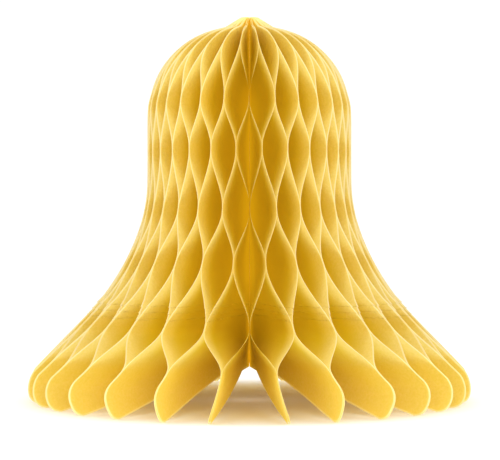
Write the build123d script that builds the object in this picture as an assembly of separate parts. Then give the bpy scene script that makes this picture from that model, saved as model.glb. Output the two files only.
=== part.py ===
from build123d import *
import os
from math import acos, cos, degrees, radians, sin

# A folding tissue-paper honeycomb bell, standing open on its petal tips.
# Millimetres and degrees. The origin is on the spine's axis, level with the petal tips, +Z up.
# The two cover boards stand back to back at +Y, and the leaves fan from one round to the other.

# ---- outline of one half-bell leaf: radius from the spine, height above the petal tips ----
rim_radius = 123.0  # widest part of the rolled rim
rim_height = 10.0  # height of that widest part
lip_inset = 7.0  # how far inside the rim the flare rolls over
lip_rise = 13.5  # how far above the rim it rolls over
tip_inset = 8.0  # how far inside the rim the lowest point of a petal is
spine_rise = 19.5  # bottom of the spine above the petal tips
foot_radius = 30.0  # the bottom edge runs level out to here, then slopes down to the tip
flare_height = 124.0  # where the flare leaves the straight neck
neck_radius = 57.0
neck_length = 30.5  # straight part of the neck
flare_stations = (0.40, 0.73)  # shares of the way down the flare at which its curve is set
dome_rise = 55.0  # from the neck to the crown of the dome
dome_power = 2.2  # 2 is an ellipse, more is a squarer shoulder
dome_steepness = 0.25  # how steeply the dome falls away at the foot of the nub
nub_rise = 4.5  # the nub at the top, above the crown
nub_radius = 5.0  # flat top of the nub
nub_base_radius = 14.0  # where the nub meets the dome

# ---- leaves ----
leaf_count = 60  # tissue leaves, glued into pairs along every second glue line
crowding = 0.20  # leaves stand this share wider at front and back, and closer at the sides
leaf_wedge = 0.12  # a leaf's thickness, as the angle it fills about the spine
pair_gap = 0.06  # between the two leaves of a pair
spine_clearance = 0.4  # from the spine thread to the leaves and covers

# ---- cover boards ----
cover_thickness = 0.5
cover_gap = 0.3  # between the two boards, filled by the closure pads
cover_trim = 1.5  # the boards are cut this much smaller than the leaves
cover_foot = 21.0  # the boards are cut off level, this far above the petal tips
bound_width = 7.0  # edge of the board that is pressed thin and bound into the spine
bound_edge = 0.12  # thickness left at the bound edge itself
hang_hole_diameter = 2.5  # through cover A
far_hole_diameter = 3.5  # through cover B, wider so that a thread or hook finds its way through both
hang_hole_radius = 10.5  # from the spine's axis
hang_hole_drop = 8.5  # below the top of the nub

# ---- spine and closure ----
spine_thread_diameter = 3.6  # the stitched bundle of thread that binds the leaves
spine_thread_inset = 1.0  # its knots stop this far inside the leaves' ends
knot_rounding = 0.3  # radius at the thread's ends, as a share of its diameter
pad_width = 9.0
pad_length = 26.0
upper_pad_height = 146.0  # centre of each self-adhesive pad above the petal tips
lower_pad_height = 44.0
pad_edge_distance = 14.0  # from a pad's centre in to the neck's or the flare's edge

# ---- worked out from the sizes above ----
crown_height = flare_height + neck_length + dome_rise
nub_height = crown_height + nub_rise
leaf_inner_radius = spine_thread_diameter / 2 + spine_clearance
leaf_step = 360.0 / (leaf_count + 1)
board_face = cover_gap / 2 + cover_thickness
hang_hole_height = nub_height - hang_hole_drop


def azimuth(place):
    """Direction of a place in the fan: 0 is cover A, leaf_count + 1 is cover B, both at +Y."""
    turn = leaf_step * (place - (leaf_count + 1) / 2)
    return 270.0 + turn + degrees(crowding / 2 * sin(2 * radians(turn)))


def flare_radius(height, trim):
    """Radius of the flare's edge at a height: it grows with the square of the drop below the neck."""
    lip = (rim_radius - lip_inset - trim, rim_height + lip_rise)
    share = (flare_height - height) / (flare_height - lip[1])
    return neck_radius - trim + share**2 * (lip[0] - neck_radius + trim)


def dome_points(trim, count=6):
    """Points on the dome's superellipse, from the neck up to the foot of the nub."""
    neck = neck_radius - trim
    rise = dome_rise - trim
    last = acos(((nub_base_radius - trim) / neck) ** (dome_power / 2))
    points = []
    for i in range(count + 1):
        turn = last * i / count
        across = neck * cos(turn) ** (2 / dome_power)
        up = rise * sin(turn) ** (2 / dome_power)
        points.append((across, 0, flare_height + neck_length + up))
    return points


def half_bell(inner_radius, trim=0.0):
    """Flat half-bell in the XZ plane, cut back by trim along its free edge."""
    rim = rim_radius - trim
    tip = (rim_radius - tip_inset, 0, trim)
    lip = (rim - lip_inset, 0, rim_height + lip_rise)
    neck_low = (neck_radius - trim, 0, flare_height)
    shoulder = dome_points(trim)
    nub_edge = (nub_radius, 0, nub_height - trim)
    top = (inner_radius, 0, nub_height - trim)
    foot = (inner_radius, 0, spine_rise + trim)
    foot_corner = (foot_radius, 0, spine_rise + trim)
    flare = []
    for share in flare_stations:
        height = flare_height - share * (flare_height - lip[2])
        flare.append((flare_radius(height, trim), 0, height))
    with BuildLine() as edge:
        Line(foot, top)
        Line(top, nub_edge)
        Line(nub_edge, shoulder[-1])
        Spline(*reversed(shoulder), tangents=((1, 0, -dome_steepness), (0, 0, -1)))
        Line(shoulder[0], neck_low)
        Spline(neck_low, *flare, lip, (rim, 0, rim_height), tip, tangents=((0, 0, -1), (-1, 0, 0)))
        Line(tip, foot_corner)
        Line(foot_corner, foot)
    return make_face(edge.edges())


def leaf(middle):
    """One tissue leaf: a thin wedge of the half-bell, centred on the direction middle."""
    wedge = revolve(half_bell(leaf_inner_radius), Axis.Z, leaf_wedge)
    return wedge.rotate(Axis.Z, middle - leaf_wedge / 2)


def leaf_pair(number):
    """Leaves 2n-1 and 2n, glued to each other along the lines that also close the petals."""
    middle = azimuth(2 * number - 0.5)
    offset = (leaf_wedge + pair_gap) / 2
    return Compound(children=[leaf(middle - offset), leaf(middle + offset)])


def cover(side, hole_diameter):
    """Half-bell cover board at +Y. Side 1 stands at -X of the seam, and side -1 at +X."""
    board = half_bell(leaf_inner_radius, cover_trim)
    plate = extrude(board, board_face, dir=(0, side, 0))
    bound = leaf_inner_radius + bound_width
    section = Polyline(
        (leaf_inner_radius, 0),
        (bound, side * cover_gap / 2),
        (rim_radius, side * cover_gap / 2),
        (rim_radius, side * board_face),
        (bound, side * board_face),
        (leaf_inner_radius, side * bound_edge),
        close=True,
    )
    plate = plate & Pos(0, 0, cover_foot) * extrude(make_face(section), nub_height, dir=(0, 0, 1))
    hole = Cylinder(hole_diameter / 2, bound_width, rotation=(90, 0, 0))
    plate = plate - Pos(hang_hole_radius, 0, hang_hole_height) * hole
    return plate.rotate(Axis.Z, 90)


def spine_thread():
    """Bundle of binding thread up the axis, with rounded knots at its two ends."""
    low = spine_rise + spine_thread_inset
    length = nub_height - spine_thread_inset - low
    bundle = Cylinder(spine_thread_diameter / 2, length, align=(Align.CENTER, Align.CENTER, Align.MIN))
    bundle = fillet(bundle.edges(), spine_thread_diameter * knot_rounding)
    return Pos(0, 0, low) * bundle


def closure_pad(height, edge_radius):
    """Self-adhesive pad on cover A's outer face, which cover B closes on."""
    centre = edge_radius - cover_trim - pad_edge_distance
    return Pos(0, centre, height) * Box(cover_gap, pad_width, pad_length)


os.makedirs("parts", exist_ok=True)
for number in range(1, leaf_count // 2 + 1):
    export_step(leaf_pair(number), f"parts/leaf_pair_{number:02d}.step")
export_step(cover(1, hang_hole_diameter), "parts/cover_a.step")
export_step(cover(-1, far_hole_diameter), "parts/cover_b.step")
export_step(spine_thread(), "parts/spine_thread.step")
export_step(closure_pad(upper_pad_height, neck_radius), "parts/closure_pad_upper.step")
flare_edge = flare_radius(lower_pad_height, 0.0)
export_step(closure_pad(lower_pad_height, flare_edge), "parts/closure_pad_lower.step")
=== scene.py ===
import math

import bpy
import numpy as np
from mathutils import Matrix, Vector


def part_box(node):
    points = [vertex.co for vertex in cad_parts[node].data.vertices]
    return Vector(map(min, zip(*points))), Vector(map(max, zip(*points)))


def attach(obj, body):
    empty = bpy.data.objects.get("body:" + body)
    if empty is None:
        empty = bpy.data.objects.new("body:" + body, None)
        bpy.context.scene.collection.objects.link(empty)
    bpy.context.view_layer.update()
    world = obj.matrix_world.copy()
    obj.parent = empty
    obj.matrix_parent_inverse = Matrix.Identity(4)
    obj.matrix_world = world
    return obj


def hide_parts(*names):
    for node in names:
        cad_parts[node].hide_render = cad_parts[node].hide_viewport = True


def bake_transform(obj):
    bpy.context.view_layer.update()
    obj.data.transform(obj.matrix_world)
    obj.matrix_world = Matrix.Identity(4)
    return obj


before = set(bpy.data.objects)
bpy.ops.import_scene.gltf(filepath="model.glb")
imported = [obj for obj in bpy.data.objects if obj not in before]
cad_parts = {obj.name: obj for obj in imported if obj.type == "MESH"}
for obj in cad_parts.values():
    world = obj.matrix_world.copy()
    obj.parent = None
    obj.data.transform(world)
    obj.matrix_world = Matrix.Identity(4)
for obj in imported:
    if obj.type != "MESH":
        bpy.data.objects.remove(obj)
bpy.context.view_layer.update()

# Camera, light and floor.
# A long lens level with the middle of the bell, in a white room: a broad soft light in front and
# above, one from each side, and a pale floor. None of it belongs to the bell.
MM = 0.001
VIEW_WIDTH = 280 * MM  # what the view takes in from side to side at the spine
VIEW_MIDDLE = 95.2 * MM  # height at the middle of the view
CAMERA_DISTANCE = 974 * MM
CAMERA_HEIGHT = 99.7 * MM
SENSOR_WIDTH = 36.0  # in millimetres, as the lens is
SIDE_SHIFT = 0.0012  # as a share of the view's width
ROOM_STRENGTH = 1.08
SOFTBOX_SIZE = 0.8  # metres, as all lengths without MM are
FRONT_WATTS = 6.3
SIDE_WATTS = 4.2
AIM = (0, 0, 0.1)
FLOOR_SIZE = 6.0
FLOOR_HEIGHT = -0.0002  # just clear of the petal tips
FLOOR_GRAIN_MM = 2.5  # coarser than real paper's, to show

camera_data = bpy.data.cameras.new("camera")
camera_data.sensor_width = SENSOR_WIDTH
camera_data.lens = SENSOR_WIDTH * CAMERA_DISTANCE / VIEW_WIDTH
camera_data.shift_x = SIDE_SHIFT
camera_data.shift_y = (VIEW_MIDDLE - CAMERA_HEIGHT) / VIEW_WIDTH
camera = bpy.data.objects.new("camera", camera_data)
camera.location = (0, -CAMERA_DISTANCE, CAMERA_HEIGHT)
camera.rotation_euler = (math.pi / 2, 0, 0)
bpy.context.scene.collection.objects.link(camera)
bpy.context.scene.camera = camera
bpy.context.scene.view_settings.view_transform = "Standard"

world = bpy.data.worlds.new("white_room")
bpy.context.scene.world = world
world.use_nodes = True
world.node_tree.nodes["Background"].inputs["Color"].default_value = (1, 1, 1, 1)
world.node_tree.nodes["Background"].inputs["Strength"].default_value = ROOM_STRENGTH


def soft_light(name, place, watts):
    """Square area light at place, facing AIM. It is tipped by the angle whose tangent is the way
    across over the way down, and turned to the direction across."""
    data = bpy.data.lights.new(name, "AREA")
    data.size = SOFTBOX_SIZE
    data.energy = watts
    lamp = bpy.data.objects.new(name, data)
    lamp.location = place
    toward = np.array(AIM, float) - np.array(place, float)
    lamp.rotation_euler = (
        math.atan2(math.hypot(toward[0], toward[1]), -toward[2]),
        0,
        math.atan2(-toward[0], toward[1]),
    )
    bpy.context.scene.collection.objects.link(lamp)


soft_light("front_softbox", (0.1, -1.3, 0.3), FRONT_WATTS)
soft_light("left_softbox", (-1.1, -0.1, 0.45), SIDE_WATTS)
soft_light("right_softbox", (1.1, -0.1, 0.45), SIDE_WATTS)


def hex_linear(text):
    """An sRGB hex colour as linear red, green and blue. Each channel is divided by 12.92 near
    black; above that, 0.055 is added, it is divided by 1.055 and raised to the power 2.4."""
    parts = [int(text[i : i + 2], 16) / 255 for i in (1, 3, 5)]
    linear = (c / 12.92 if c <= 0.04045 else ((c + 0.055) / 1.055) ** 2.4 for c in parts)
    return tuple(linear) + (1.0,)


def add_node(tree, kind, settings=None, **links):
    """Adds a node. settings are its own properties, and each link is a value or another node's
    socket, under the input's name, or under i and its number where names repeat."""
    node = tree.nodes.new(kind)
    for key, value in (settings or {}).items():
        setattr(node, key, value)
    for key, value in links.items():
        numbered = key[0] == "i" and key[1:].isdigit()
        socket = node.inputs[int(key[1:]) if numbered else key.replace("_", " ")]
        if isinstance(value, bpy.types.NodeSocket):
            tree.links.new(value, socket)
        else:
            socket.default_value = value
    return node


def new_material(name):
    """A node material with no nodes in it yet, and its node tree."""
    material = bpy.data.materials.new(name)
    material.use_nodes = True
    material.node_tree.nodes.clear()
    return material, material.node_tree


def grid_mesh(name, points, closed_round=False):
    """Mesh of a grid of points, rows by columns by 3, in metres: one four-sided face between each
    two rows and two columns. closed_round joins the last column to the first."""
    rows, columns = points.shape[:2]
    corner = np.arange(rows * columns).reshape(rows, columns)
    if closed_round:
        corner = np.concatenate([corner, corner[:, :1]], axis=1)
    faces = np.stack([corner[:-1, :-1], corner[:-1, 1:], corner[1:, 1:], corner[1:, :-1]], axis=-1)
    faces = faces.reshape(-1, 4)
    mesh = bpy.data.meshes.new(name)
    mesh.from_pydata(points.reshape(-1, 3), [], faces.tolist())
    mesh.polygons.foreach_set("use_smooth", np.ones(len(faces), bool))
    return mesh


def new_piece(mesh, material):
    """An object at the origin with that mesh and material."""
    mesh.materials.append(material)
    piece = bpy.data.objects.new(mesh.name, mesh)
    bpy.context.scene.collection.objects.link(piece)
    return piece


floor_material, tree = new_material("matt_white_paper_floor")
# Uncoated white paper: quite dull, with a faint grain.
grain = add_node(tree, "ShaderNodeTexNoise", None, Scale=1000.0 / FLOOR_GRAIN_MM, Detail=2.0)
shade = add_node(
    tree, "ShaderNodeMixRGB", None,
    Fac=grain.outputs["Fac"], Color1=hex_linear("#FAFAF8"), Color2=hex_linear("#FDFDFC"),
)
surface = add_node(
    tree, "ShaderNodeBsdfPrincipled", None, Roughness=0.9, Base_Color=shade.outputs["Color"]
)
add_node(tree, "ShaderNodeOutputMaterial", None, Surface=surface.outputs["BSDF"])
side = np.linspace(-FLOOR_SIZE / 2, FLOOR_SIZE / 2, 3)
across, along = np.meshgrid(side, side)
floor_points = np.stack([across, along, across * 0 + FLOOR_HEIGHT], -1)
floor = new_piece(grid_mesh("floor", floor_points), floor_material)

# Honeycomb leaves.
# Sixty half-bells of thin dyed tissue. Rows of glue join each leaf to the next, by turns on one
# side and the other, so when the fan is opened every leaf is drawn into a zigzag and cells open.
PAIRS = 30
LEAVES = 2 * PAIRS

# Places in the fan are counted in leaf spacings, from 0 at cover A to LAST_PLACE at cover B.
LAST_PLACE = LEAVES + 1
FAN_MIDDLE = LAST_PLACE / 2  # the middle of the front

# The first row closes the petals, and every second one after it is on the same side.
GLUE_ROWS = np.array([17.5, 44.9, 78.6, 106.4, 139.0, 165.4, 199.6, 228.0]) * MM
GLUE_HALF = 0.085  # half the height of a glue line, as a share of the way to the next
GLUE_SLACK = 0.018  # how far two glued leaves stand apart, in leaf spacings
GLUE_FADE = 0.12  # the glue's mark fades out over this much of the zigzag
GLUE_LOWEST = GLUE_ROWS[0] - 3 * MM  # there is no glue in the petals below this
PETAL_CLOSED = 8.0 * MM  # the petals stay shut this far above their row of glue
TIP_OPENING = 0.05  # how far a petal's two leaves part again at its tip
SOFT_BEND = 1.6 * MM  # a leaf bends over this much as it leaves a row of glue
SOFT_STEPS = 5  # heights that the bend is averaged over
STRAIGHTNESS = 0.35  # of a leaf between two rows: 1 is straight, 0 an S-shaped curve

# Size of the leaves where the bell is open below, and of the grid that draws them.
INNER_RADIUS = 0.6 * MM  # the leaves start at the thread
FOOT_HEIGHT = 19.5 * MM  # bottom of the spine above the petal tips
FOOT_RADIUS = 30 * MM  # the bottom edge runs nearly level out to here, then down to the tip
FOOT_RISE = 0.3 * MM  # how much the bottom edge rises towards the spine
FOOT_DIP = 1.2 * MM  # how far the leaves hang down round the spine's end
FOOT_DIP_RADIUS = 14 * MM
COLUMNS = 18
COLUMN_CROWDING = 1.7  # 1 spaces the columns evenly, more crowds them to the free edge
EDGE_STEP = 1.15 * MM
LEAST_RISE = 1e-9  # keeps each row of the grid above the last
OUTER_PART = 50 * MM  # a leaf's direction is read further out than this

# Where the first and last leaf are glued over the boards.
BOARD_CLEARANCE = 0.08 * MM
BOUND_INNER, BOUND_OUTER = 2.2 * MM, 9.2 * MM  # the board's thinned edge, bound in the spine
BOUND_CLEARANCE = 0.16 * MM  # from the seam to the leaf at the thinned edge's inner side

# How far the free petals swing away from the middle of the front, in leaf spacings.
BELLY_TOP = 27 * MM  # below this height a petal bulges sideways
BELLY = 0.35
FRONT_BELLY_LOSS = 0.15  # the front petals bulge this much less
FRONT_REACH, FRONT_FADE = 5.5, 2.0  # they end this far from the middle, over this far
TOE_TOP = 22 * MM  # below this height its tip swings further
TOE_CURVE = 1.5
TOE = 0.12
MIDDLE_TOE = 0.27  # the tips of the middle petals swing this much further
MIDDLE_REACH = 1.5  # they reach this far from the middle, and fade out over as much again
SIDE_CHANGE = 2.0  # how sharply the swing changes side at the middle
BACK_FADE = 6.0  # the swing dies away over this many leaves beside the boards

# Hand-glued tissue is never quite regular.
RIPPLES = 26
UNEVENNESS = 0.035  # in leaf spacings
CALM = 2.0  # it dies away over this many leaves beside the boards
TONE_SPREAD = 0.018  # how much one leaf is lighter or darker than another


def node_points(name):
    """The corners of a CAD node's mesh, one row each."""
    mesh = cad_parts[name].data
    flat = np.zeros(len(mesh.vertices) * 3, np.float32)
    mesh.vertices.foreach_get("co", flat)
    return flat.reshape(-1, 3).astype(float)


def leaf_outline():
    """Free edge of a leaf as radius and height, from the petal's tip up to the top of the nub.
    A leaf's corners are put in order by their direction from a point well inside it."""
    corners = node_points("leaf_pair_15")
    flat = np.stack([np.hypot(corners[:, 0], corners[:, 1]), corners[:, 2]], -1)
    flat = np.unique(np.round(flat, 6), axis=0)
    turn = np.arctan2(flat[:, 1] - 100 * MM, flat[:, 0] - 40 * MM)
    flat = flat[np.argsort(turn)]
    flat = np.roll(flat, -np.argmin(flat[:, 1]), axis=0)
    top = np.flatnonzero(flat[:, 1] > flat[:, 1].max() - 0.01 * MM)
    return flat[: top.min() + 1]


def resampled(line, step):
    """Points evenly spaced along a polyline, no further apart than step: its length is divided by
    step and rounded up, and each coordinate is read off at those lengths."""
    length = np.concatenate([[0], np.cumsum(np.hypot(*np.diff(line, axis=0).T))])
    places = np.linspace(0, length[-1], int(math.ceil(length[-1] / step)) + 1)
    return np.stack([np.interp(places, length, line[:, i]) for i in (0, 1)], -1)


def edge_distance(points, line):
    """Distance from each point to a polyline: the least distance to the foot of the perpendicular
    on any of its pieces, with the foot kept between that piece's two ends."""
    a, b = line[:-1], line[1:]
    along = b - a
    rel = points[:, None, :] - a[None]
    share = np.clip((rel * along).sum(-1) / np.maximum((along**2).sum(-1), 1e-12), 0, 1)
    return np.sqrt(((rel - share[..., None] * along) ** 2).sum(-1)).min(1)


# The flat leaf: one row for each height of its free edge, and columns from the spine out to it.
free_edge = leaf_outline()
tip_radius, top_height = free_edge[0, 0], free_edge[-1, 1]
edge_rows = resampled(free_edge, EDGE_STEP)
height_rows = np.maximum.accumulate(edge_rows[:, 1] + np.arange(len(edge_rows)) * LEAST_RISE)
bottom_z = np.array([0, FOOT_HEIGHT - FOOT_RISE / 3, FOOT_HEIGHT + FOOT_RISE])
bottom_r = np.array([tip_radius, FOOT_RADIUS, INNER_RADIUS])
inner_rows = np.minimum(np.interp(height_rows, bottom_z, bottom_r), edge_rows[:, 0])
column_share = 1 - (1 - np.linspace(0, 1, COLUMNS)) ** COLUMN_CROWDING
leaf_r = inner_rows[:, None] + (edge_rows[:, 0] - inner_rows)[:, None] * column_share[None]
leaf_z = np.repeat(height_rows[:, None], COLUMNS, axis=1)
bottom_edge = np.stack([bottom_r[::-1], bottom_z[::-1]], -1)
top_edge = np.array([[free_edge[-1, 0], top_height], [INNER_RADIUS, top_height]])
cut_line = np.concatenate([bottom_edge, free_edge, top_edge])
leaf_edge_mm = edge_distance(np.stack([leaf_r.ravel(), leaf_z.ravel()], -1), cut_line) / MM

# Directions of the boards and the glued pairs round the spine, in radians, against their places.
pair_turn = []
for m in range(1, PAIRS + 1):
    far = node_points(f"leaf_pair_{m:02d}")
    far = far[np.hypot(far[:, 0], far[:, 1]) > OUTER_PART].mean(0)
    pair_turn.append(math.degrees(math.atan2(far[1], far[0])) % 360)
pair_turn = np.unwrap(np.radians([90] + pair_turn + [90]))
pair_turn[-1] = pair_turn[0] + 2 * math.pi
fan_place = np.array([0] + [2 * m - 0.5 for m in range(1, PAIRS + 1)] + [LAST_PLACE])


def zigzag(height, soften=True):
    """1 on the rows of glue that close the petals and -1 on the rows between, with a level stretch
    on each and an eased slope from one to the next. The slope is STRAIGHTNESS parts of a straight
    line and the rest of three times the square less twice the cube. soften averages it over
    SOFT_BEND up and down."""
    if soften:
        shifts = np.linspace(-SOFT_BEND, SOFT_BEND, SOFT_STEPS)
        return sum(zigzag(height + shift, False) for shift in shifts) / SOFT_STEPS
    rows_up = np.interp(height, GLUE_ROWS, np.arange(len(GLUE_ROWS)))
    shut = PETAL_CLOSED / (GLUE_ROWS[1] - GLUE_ROWS[0])
    lowest = GLUE_HALF + np.maximum(rows_up - shut, 0) * (1 - GLUE_HALF) / (1 - shut)
    rows_up = np.where(rows_up < 1, lowest, rows_up)
    away = np.abs((rows_up + 1) % 2 - 1)
    slope = np.clip((away - GLUE_HALF) / (1 - 2 * GLUE_HALF), 0, 1)
    eased = STRAIGHTNESS * slope + (1 - STRAIGHTNESS) * slope**2 * (3 - 2 * slope)
    below = np.clip(1 - height / GLUE_ROWS[0], 0, 1)
    return np.where(height < GLUE_ROWS[0], 1 - TIP_OPENING * below, 1 - 2 * eased)


random = np.random.default_rng(60)
ripple = np.stack([
    random.uniform(0.25, 1.1, RIPPLES),  # radians per leaf spacing
    random.uniform(20, 95, RIPPLES),  # radians per metre of height
    random.uniform(0, 2 * math.pi, RIPPLES),
    random.uniform(0, 2 * math.pi, RIPPLES),
])
leaf_tones = random.normal(1.0, TONE_SPREAD, LEAVES)


def unevenness(place, height):
    """Sum of slow waves, each a sine across the fan times a sine up the height, divided by the
    square root of their number, so that it stays near 1 at most."""
    across = np.sin(ripple[0] * place[..., None] + ripple[2])
    up = np.sin(ripple[1] * height[..., None] + ripple[3])
    return (across * up).sum(-1) / math.sqrt(RIPPLES)


def splay(place, height):
    """Sideways swing of the free petals: a bulge that is the square of a sine from the tip up to
    BELLY_TOP, and a toe that grows with a power of the drop below TOE_TOP. Both lean away from
    the middle of the front and die away at the boards."""
    off = place - FAN_MIDDLE
    belly = np.sin(math.pi * np.clip(1 - height / BELLY_TOP, 0, 1)) ** 2
    toe = np.clip(1 - height / TOE_TOP, 0, 1) ** TOE_CURVE
    middle = np.clip(2 - np.abs(off) / MIDDLE_REACH, 0, 1)
    front = np.clip((FRONT_REACH - np.abs(off)) / FRONT_FADE, 0, 1)
    away_from_back = np.clip((LEAVES / 2 - np.abs(off)) / BACK_FADE, 0, 1)
    swing = (BELLY - FRONT_BELLY_LOSS * front) * belly * (1 - middle)
    swing = swing + toe * (TOE + MIDDLE_TOE * middle)
    return np.tanh(off * SIDE_CHANGE) * away_from_back * swing


def leaf_places(number):
    """Where one leaf stands in the fan at each point of its grid. The zigzag takes it from the
    place where it is glued to its pair to the place where it is glued to its other neighbour."""
    m = (number + 1) // 2
    petal_place = 2 * m - 0.5
    other = 2 * m - 1.5 if number % 2 else 2 * m + 0.5
    if number == 1:
        other = 0.0
    if number == LEAVES:
        other = float(LAST_PLACE)
    part = (1 + zigzag(leaf_z)) / 2
    slack = GLUE_SLACK * (-1 if number % 2 else 1) * (2 * part - 1)
    place = other + (petal_place - other) * part + slack
    calm = np.clip(np.minimum(place, LAST_PLACE - place) / CALM, 0, 1)
    return place + calm * (UNEVENNESS * unevenness(place, leaf_z)) + splay(place, leaf_z)


tissue, tree = new_material("dyed_tissue_paper")
# Thin golden tissue: soft and dull, lets light through, with a fibrous mottle and faint bands
# where the glue has soaked in. Painted light and shade: paler near the free edges and on the
# petals, deeper farther in where many layers stand behind; the pale fuzzy cut edges are partly
# painted glow.
# The pale colour is painted light. The deep one serves the mottle, the glue's soak and painted
# shade deep inside.
TISSUE_DEEP_AND_SHADE = "#E4D23C"
TISSUE_BODY = "#EAD43A"
TISSUE_PAINTED_LIGHT = "#F3E08E"
TISSUE_EDGE_AND_GLOW = "#FBF0BE"
PALE_FROM, PALE_TO = 0.8, 15.0  # millimetres in from the edge, from painted light to the body colour
HEART_FROM, HEART_TO, HEART_SHADE = 20.0, 70.0, 0.8  # and on to the deep colour as painted shade, this much of it
CUT_FROM, CUT_TO, CUT = 0.35, 1.1, 0.9  # the fuzzy cut edge, paler and partly painted edge glow, wider than the real one to show
# Painted light on the petals, which are lit from below.
PETAL_PAINTED_LIGHT = 0.95
MOTTLE_MM = 1.3  # clumps of fibres: single ones are too fine to show
MOTTLE = 0.4
GLUE_SOAK = 0.06
CRINKLE_MM = 4.0  # from one soft crinkle to the next
CRINKLE_HEIGHT = 0.6 * MM
TRANSLUCENCY = 0.72
# Real tissue passes light on through many layers, and it comes out inside the cells. A faint glow
# of its own, which grows with the depth inside the bell, stands for that.
GLOW_COLOUR = "#D2BB22"
GLOW = 0.78
GLOW_FROM, GLOW_TO = 3.0, 50.0  # millimetres in from the edge, from none to the strongest
GLOW_SPINE = 18 * MM  # it is strong this near the spine, too
PETAL_GLOW = 0.25
PETAL_TOP, PETAL_FADE = 38 * MM, 22 * MM  # the petals end here, over this height

place = add_node(tree, "ShaderNodeTexCoord").outputs["Object"]
masks = {}
for name in ("edge_mm", "glue", "tone", "petal", "inward"):
    masks[name] = add_node(tree, "ShaderNodeAttribute", {"attribute_name": name}).outputs["Fac"]
# Painted light near the free edge, fading to the body colour further in.
depth = add_node(
    tree, "ShaderNodeMapRange", {"interpolation_type": "SMOOTHSTEP"},
    Value=masks["edge_mm"], From_Min=PALE_FROM, From_Max=PALE_TO, To_Min=0.0, To_Max=1.0,
)
body = add_node(
    tree, "ShaderNodeMixRGB", None,
    Fac=depth.outputs["Result"], Color1=hex_linear(TISSUE_PAINTED_LIGHT), Color2=hex_linear(TISSUE_BODY),
)
# Painted shade: deeper colour far inside the bell, where many layers stand behind.
painted_heart_shade = add_node(
    tree, "ShaderNodeMapRange", {"interpolation_type": "SMOOTHSTEP"},
    Value=masks["edge_mm"], From_Min=HEART_FROM, From_Max=HEART_TO, To_Min=0.0, To_Max=HEART_SHADE,
)
body = add_node(
    tree, "ShaderNodeMixRGB", None,
    Fac=painted_heart_shade.outputs["Result"], Color1=body.outputs["Color"], Color2=hex_linear(TISSUE_DEEP_AND_SHADE),
)
# Painted light: the petals are paler, as they are lit from below.
painted_petal_light = add_node(
    tree, "ShaderNodeMath", {"operation": "MULTIPLY"}, i0=masks["petal"], i1=PETAL_PAINTED_LIGHT
)
body = add_node(
    tree, "ShaderNodeMixRGB", None,
    Fac=painted_petal_light.outputs[0], Color1=body.outputs["Color"], Color2=hex_linear(TISSUE_PAINTED_LIGHT),
)
mottle = add_node(
    tree, "ShaderNodeTexNoise", None,
    Vector=place, Scale=1000.0 / MOTTLE_MM, Detail=3.0, Roughness=0.6,
)
mottle_share = add_node(
    tree, "ShaderNodeMapRange", None,
    Value=mottle.outputs["Fac"], From_Min=0.3, From_Max=0.7, To_Min=0.0, To_Max=MOTTLE,
)
body = add_node(
    tree, "ShaderNodeMixRGB", None,
    Fac=mottle_share.outputs["Result"], Color1=body.outputs["Color"],
    Color2=hex_linear(TISSUE_DEEP_AND_SHADE),
)
band = add_node(tree, "ShaderNodeMath", {"operation": "MULTIPLY"}, i0=masks["glue"], i1=GLUE_SOAK)
body = add_node(
    tree, "ShaderNodeMixRGB", None,
    Fac=band.outputs[0], Color1=body.outputs["Color"], Color2=hex_linear(TISSUE_DEEP_AND_SHADE),
)
# The fuzzy cut edge: paler loose fibres, and partly painted glow of light along the edge.
cut = add_node(
    tree, "ShaderNodeMapRange", {"interpolation_type": "SMOOTHSTEP"},
    Value=masks["edge_mm"], From_Min=CUT_FROM, From_Max=CUT_TO, To_Min=CUT, To_Max=0.0,
)
body = add_node(
    tree, "ShaderNodeMixRGB", None,
    Fac=cut.outputs["Result"], Color1=body.outputs["Color"], Color2=hex_linear(TISSUE_EDGE_AND_GLOW),
)
tint = add_node(
    tree, "ShaderNodeHueSaturation", None, Color=body.outputs["Color"], Value=masks["tone"]
)
fill = add_node(tree, "ShaderNodeMath", {"operation": "MULTIPLY"}, i0=masks["inward"], i1=GLOW)
crinkle = add_node(
    tree, "ShaderNodeTexNoise", None,
    Vector=place, Scale=1000.0 / CRINKLE_MM, Detail=4.0, Roughness=0.65,
)
bump = add_node(
    tree, "ShaderNodeBump", None,
    Strength=0.35, Distance=CRINKLE_HEIGHT, Height=crinkle.outputs["Fac"],
)
sheet = add_node(
    tree, "ShaderNodeBsdfPrincipled", None,
    Base_Color=tint.outputs["Color"], Roughness=0.8, Specular_IOR_Level=0.2,
    Emission_Color=hex_linear(GLOW_COLOUR), Emission_Strength=fill.outputs[0],
    Normal=bump.outputs["Normal"],
)
passed_on = add_node(
    tree, "ShaderNodeBsdfTranslucent", None,
    Color=tint.outputs["Color"], Normal=bump.outputs["Normal"],
)
both = add_node(
    tree, "ShaderNodeMixShader", None,
    Fac=TRANSLUCENCY, i1=sheet.outputs["BSDF"], i2=passed_on.outputs["BSDF"],
)
add_node(tree, "ShaderNodeOutputMaterial", None, Surface=both.outputs["Shader"])


def point_attribute(mesh, name, values):
    """Stores one number for each point of a mesh."""
    layer = mesh.attributes.new(name, "FLOAT", "POINT")
    layer.data.foreach_set("value", np.ascontiguousarray(values, np.float32).ravel())


# What the material reads at each point: the glue's mark, the petals, and the depth inside.
glue_share = 1 - np.clip((1 - np.abs(zigzag(leaf_z))) / GLUE_FADE, 0, 1)
glue_share = np.where(leaf_z < GLUE_LOWEST, 0, glue_share)
petal = np.clip((PETAL_TOP - leaf_z) / PETAL_FADE, 0, 1)
inward = np.clip((leaf_edge_mm - GLOW_FROM) / (GLOW_TO - GLOW_FROM), 0, 1).reshape(leaf_r.shape)
inward = np.maximum(inward, np.clip(1 - leaf_r / GLOW_SPINE, 0, 1))
inward = np.maximum(inward, PETAL_GLOW * petal)

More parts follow.
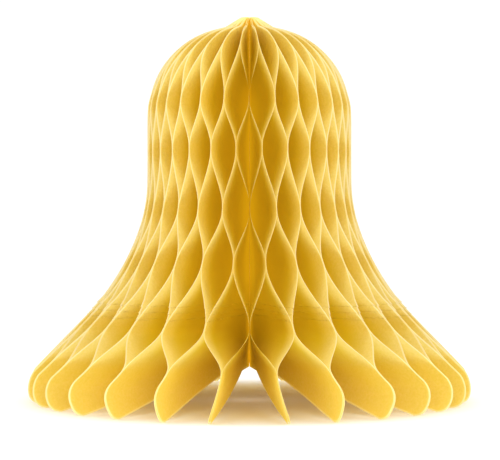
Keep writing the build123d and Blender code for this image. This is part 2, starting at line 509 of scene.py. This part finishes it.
board_face = -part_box("cover_a")[0][0] + BOARD_CLEARANCE
board_least = np.interp(
    leaf_r, [0, BOUND_INNER, BOUND_OUTER], [0, BOUND_CLEARANCE, board_face]
)
foot_dip = FOOT_DIP * np.exp(
    -((leaf_r / FOOT_DIP_RADIUS) ** 2) - (leaf_z - FOOT_HEIGHT) / FOOT_DIP_RADIUS
)
leaf_low = leaf_z - foot_dip * (leaf_z > FOOT_HEIGHT - MM)

for number in range(1, LEAVES + 1):
    turn = np.interp(leaf_places(number), fan_place, pair_turn)
    x = leaf_r * np.cos(turn)
    y = leaf_r * np.sin(turn)
    if number in (1, LEAVES):  # these two lie over the boards, and stay outside them
        side = -1 if number == 1 else 1
        x = np.where((y > 0) & (np.abs(x) < board_least), side * board_least, x)
    mesh = grid_mesh(f"leaf_{number:02d}", np.stack([x, y, leaf_low], -1))
    point_attribute(mesh, "edge_mm", leaf_edge_mm)
    point_attribute(mesh, "glue", glue_share)
    point_attribute(mesh, "inward", inward)
    point_attribute(mesh, "petal", petal)
    point_attribute(mesh, "tone", np.full(leaf_r.shape, leaf_tones[number - 1]))
    leaf = new_piece(mesh, tissue)
    # The leaf is baked in place. Each point's share of the angle from the first body it stands
    # between to the second is worked out, but nothing uses it.
    first = (number + 1) // 2 - (number % 2)
    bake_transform(leaf)
    weights = (turn - pair_turn[first]) / (pair_turn[first + 1] - pair_turn[first])
    weights = np.ascontiguousarray(weights, np.float32).ravel()
    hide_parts(f"leaf_pair_{(number + 1) // 2:02d}")

# Spine thread.
# Soft dyed cotton thread, sewn up the spine through every leaf and both boards, and knotted at
# each end.
THREAD_RADIUS = 0.45 * MM
THREAD_ROWS = 700
THREAD_SIDES = 24
TURN_LENGTH = 2.4 * MM  # one turn of a ply
PLIES = 3
GROOVE = 0.22  # depth of the grooves between the plies, as a share of the radius
KNOT_INSET = 1.6 * MM  # from the thread's end to the middle of its knot
KNOT_REACH = 1.0 * MM
KNOT_SWELL = 1.1  # how much thicker the thread is at a knot, as a share of its radius
END_ROUNDING = 0.5 * MM
FUZZ_MM = 0.25  # loose fibres, drawn coarser than they are to show

thread_low, thread_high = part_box("spine_thread")
heights = np.linspace(thread_low[2], thread_high[2], THREAD_ROWS)
around = np.linspace(0, 2 * math.pi, THREAD_SIDES, endpoint=False)
# The radius is a wave of PLIES humps round the thread, turned steadily up its length. It swells
# as a bell curve at each knot, and shrinks to nothing at the very ends as a square root.
knot = np.exp(-(((heights - thread_low[2] - KNOT_INSET) / KNOT_REACH) ** 2))
knot = knot + np.exp(-(((heights - thread_high[2] + KNOT_INSET) / KNOT_REACH) ** 2))
from_end = np.minimum(heights - thread_low[2], thread_high[2] - heights)
ends = np.clip(from_end / END_ROUNDING, 0, 1) ** 0.5
ply = np.abs(np.cos(around[None] * PLIES / 2 - heights[:, None] * 2 * math.pi / TURN_LENGTH))
ply_radius = THREAD_RADIUS * (1 - GROOVE + GROOVE * ply)
thread_r = ply_radius * (1 + KNOT_SWELL * knot)[:, None] * ends[:, None]
thread_points = np.stack([
    thread_r * np.cos(around),
    thread_r * np.sin(around),
    np.repeat(heights[:, None], len(around), 1),
], -1)
cotton, tree = new_material("twisted_cotton_thread")
# Cotton dyed a dull yellow to match the tissue: matt, and a little fuzzy, with uneven colour.
place = add_node(tree, "ShaderNodeTexCoord").outputs["Object"]
fuzz = add_node(
    tree, "ShaderNodeTexNoise", None, Vector=place, Scale=1000.0 / FUZZ_MM, Detail=2.0
)
shade = add_node(
    tree, "ShaderNodeMixRGB", None,
    Fac=fuzz.outputs["Fac"], Color1=hex_linear("#E2B640"), Color2=hex_linear("#F2D98A"),
)
surface = add_node(
    tree, "ShaderNodeBsdfPrincipled", None, Base_Color=shade.outputs["Color"], Roughness=0.9
)
add_node(tree, "ShaderNodeOutputMaterial", None, Surface=surface.outputs["BSDF"])
thread = new_piece(grid_mesh("binding_thread", thread_points, closed_round=True), cotton)
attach(thread, "cover_a")
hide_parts("spine_thread")

# Cover boards and closure pads.
# Two half-bells of thin yellow pulpboard, glued to the first and last leaf, and two white
# double-sided pads on the first board that the second one is pressed on to.
BOARD_FIBRE_MM = 0.8  # clumps of fibre, drawn coarser than they are to show
BOARD_CLOUD_MM = 12.0  # slow unevenness of the dye
FIBRE_HEIGHT = 0.1 * MM
EDGE_FACING = 0.5  # a face turned less than this to the board's own faces is its cut edge
DIMPLE_MM = 1.5  # from one dimple of the tape to the next
DIMPLE_HEIGHT = 0.1 * MM

board, tree = new_material("yellow_pulpboard")
# Uncoated board: matt, with short fibres and a paler die-cut edge, where the dye hasn't reached.
place = add_node(tree, "ShaderNodeTexCoord").outputs["Object"]
fibre = add_node(
    tree, "ShaderNodeTexNoise", None,
    Vector=place, Scale=1000.0 / BOARD_FIBRE_MM, Detail=4.0, Roughness=0.7,
)
cloud = add_node(
    tree, "ShaderNodeTexNoise", None, Vector=place, Scale=1000.0 / BOARD_CLOUD_MM, Detail=2.0
)
fibre_share = add_node(
    tree, "ShaderNodeMath", {"operation": "MULTIPLY"},
    i0=fibre.outputs["Fac"], i1=cloud.outputs["Fac"],
)
shade = add_node(
    tree, "ShaderNodeMixRGB", None,
    Fac=fibre_share.outputs[0], Color1=hex_linear("#EDC545"), Color2=hex_linear("#C99A22"),
)
facing = add_node(tree, "ShaderNodeTexCoord").outputs["Normal"]
facing = add_node(tree, "ShaderNodeSeparateXYZ", None, Vector=facing)
flat = add_node(tree, "ShaderNodeMath", {"operation": "ABSOLUTE"}, i0=facing.outputs["X"])
cut_edge = add_node(
    tree, "ShaderNodeMath", {"operation": "LESS_THAN"}, i0=flat.outputs[0], i1=EDGE_FACING
)
shade = add_node(
    tree, "ShaderNodeMixRGB", None,
    Fac=cut_edge.outputs[0], Color1=shade.outputs["Color"], Color2=hex_linear("#E9DDB8"),
)
bump = add_node(
    tree, "ShaderNodeBump", None,
    Strength=0.3, Distance=FIBRE_HEIGHT, Height=fibre.outputs["Fac"],
)
surface = add_node(
    tree, "ShaderNodeBsdfPrincipled", None,
    Base_Color=shade.outputs["Color"], Roughness=0.85, Normal=bump.outputs["Normal"],
)
add_node(tree, "ShaderNodeOutputMaterial", None, Surface=surface.outputs["BSDF"])

tape, tree = new_material("white_acrylic_tape")
# Double-sided tape: smooth, slightly glossy and faintly dimpled.
place = add_node(tree, "ShaderNodeTexCoord").outputs["Object"]
dimple = add_node(
    tree, "ShaderNodeTexNoise", None, Vector=place, Scale=1000.0 / DIMPLE_MM, Detail=1.0
)
shade = add_node(
    tree, "ShaderNodeMixRGB", None,
    Fac=dimple.outputs["Fac"], Color1=hex_linear("#F4F2EA"), Color2=hex_linear("#E6E2D4"),
)
bump = add_node(
    tree, "ShaderNodeBump", None,
    Strength=0.2, Distance=DIMPLE_HEIGHT, Height=dimple.outputs["Fac"],
)
surface = add_node(
    tree, "ShaderNodeBsdfPrincipled", None,
    Base_Color=shade.outputs["Color"], Roughness=0.35, Normal=bump.outputs["Normal"],
)
add_node(tree, "ShaderNodeOutputMaterial", None, Surface=surface.outputs["BSDF"])

finishes = {
    "cover_a": board,
    "cover_b": board,
    "closure_pad_upper": tape,
    "closure_pad_lower": tape,
}
for name, finish in finishes.items():
    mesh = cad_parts[name].data
    mesh.materials.clear()
    mesh.materials.append(finish)
